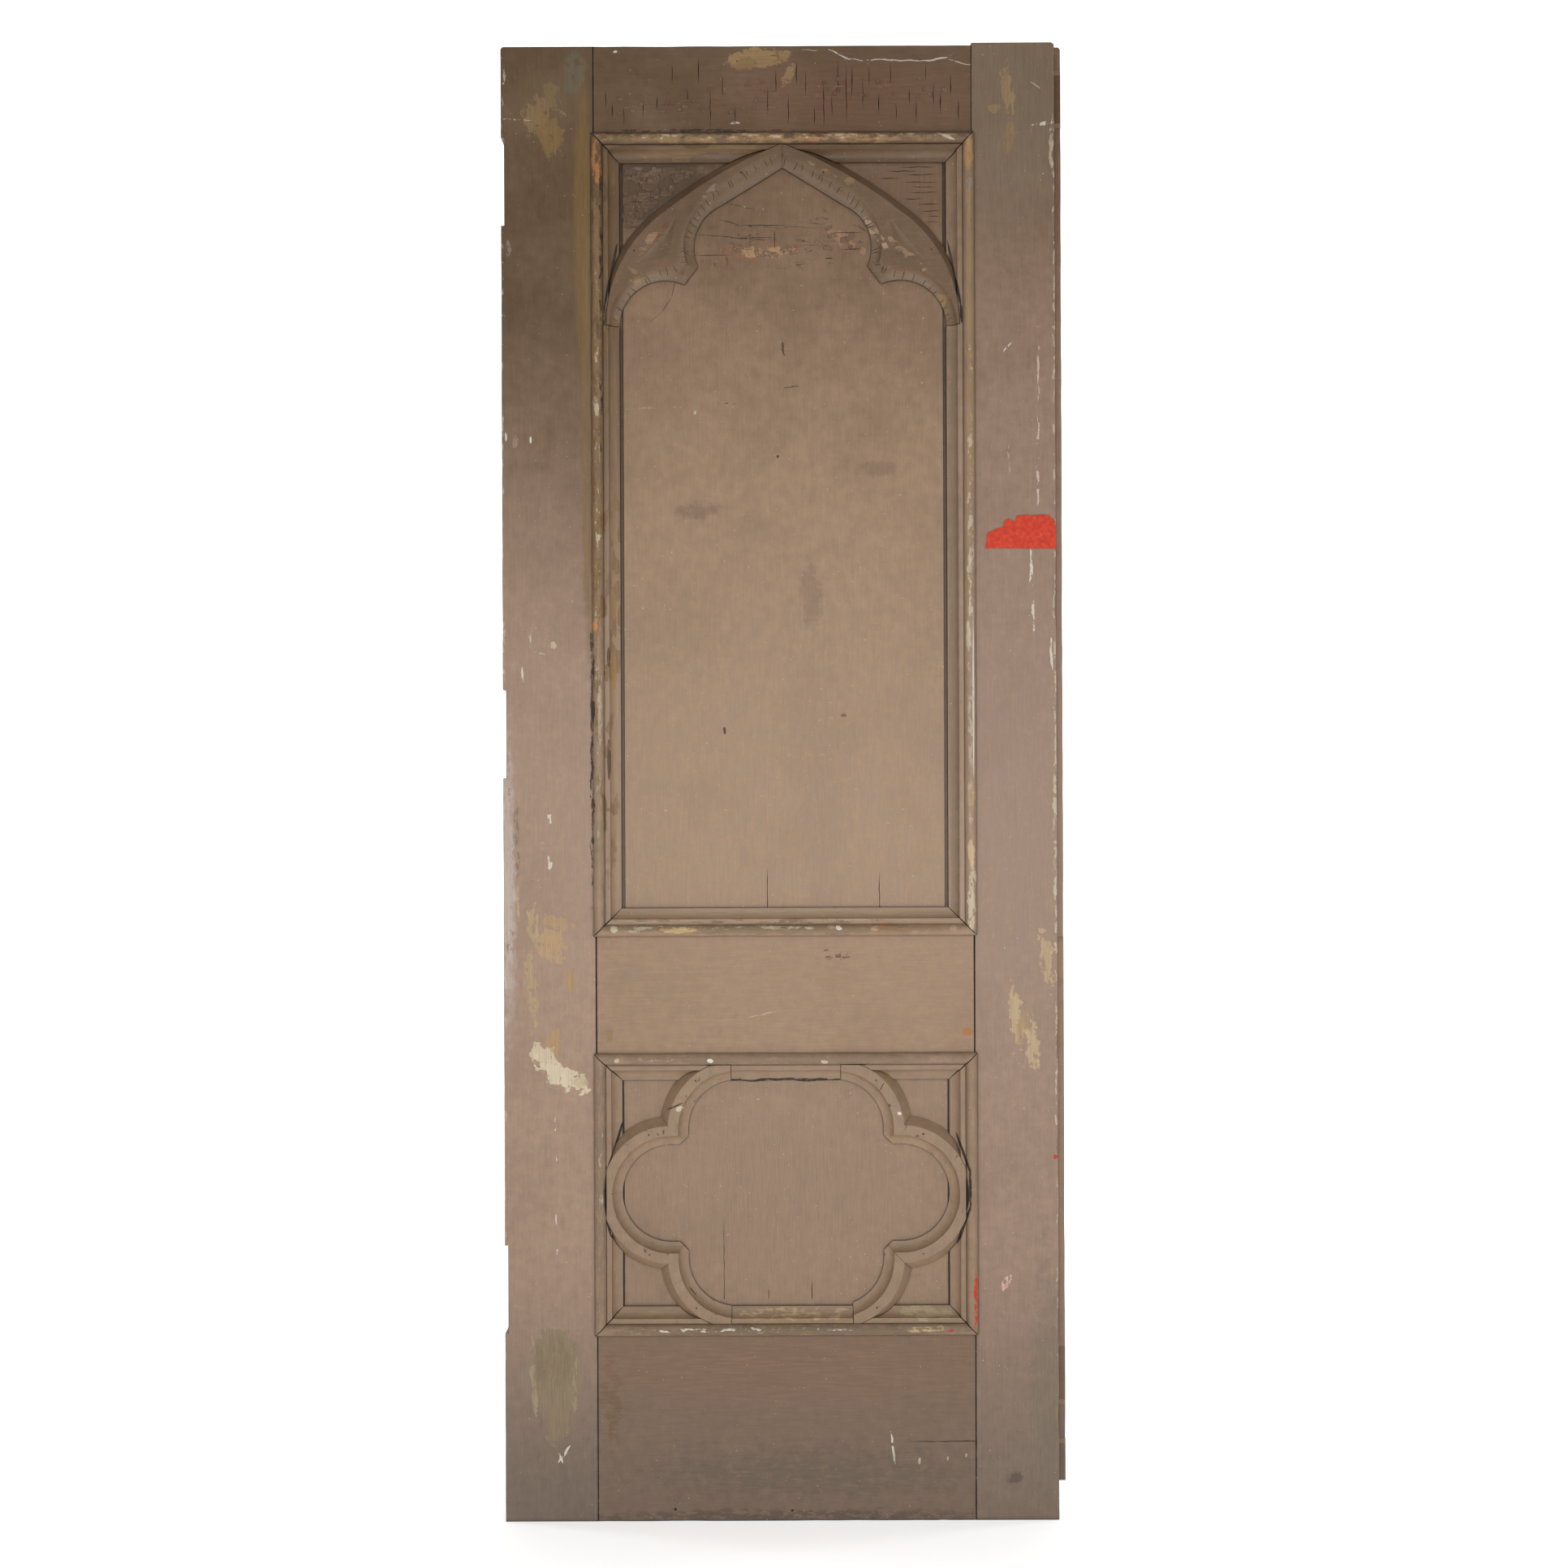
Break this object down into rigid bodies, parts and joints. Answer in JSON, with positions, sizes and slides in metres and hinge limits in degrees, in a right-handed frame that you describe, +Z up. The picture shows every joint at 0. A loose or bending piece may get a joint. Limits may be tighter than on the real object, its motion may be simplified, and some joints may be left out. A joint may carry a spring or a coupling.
{
  "type": "door leaf",
  "caption": "Painted teak frame-and-panel door leaf with a cusped arch on the upper panel, a quatrefoil on the lower panel, bolection mouldings, empty hinge gains and a rebated closing edge.",
  "frame": {"origin": "middle of the leaf's width and thickness, at its lower edge", "axes": "+Z up the leaf, -Y out of the face in the picture, -X towards the hinge edge"},
  "size_m": [0.813, 0.053, 2.138],
  "materials": {
    "painted_teak": "old brown oil paint, worn and flaking",
    "bare_teak": "unpainted",
    "iron": "dull"
  },
  "bodies": {
    "root": {"hinge_stile": "painted_teak", "closing_stile": "painted_teak", "top_rail": "painted_teak", "lock_rail": "painted_teak", "bottom_rail": "painted_teak", "upper_panel": "painted_teak", "lower_panel": "painted_teak", "upper_moulding_head": "painted_teak", "upper_moulding_foot": "painted_teak", "upper_moulding_left": "painted_teak", "upper_moulding_right": "painted_teak", "lower_moulding_head": "painted_teak", "lower_moulding_foot": "painted_teak", "lower_moulding_left": "painted_teak", "lower_moulding_right": "painted_teak", "arch_left": "painted_teak", "arch_right": "painted_teak", "quatrefoil_left": "painted_teak", "quatrefoil_right": "painted_teak", "quatrefoil_lower_right": "painted_teak", "hinge_stile_wedges": "bare_teak", "closing_stile_wedges": "bare_teak", "moulding_brads": "iron", "tracery_pins": "iron"}
  },
  "joints": []
}
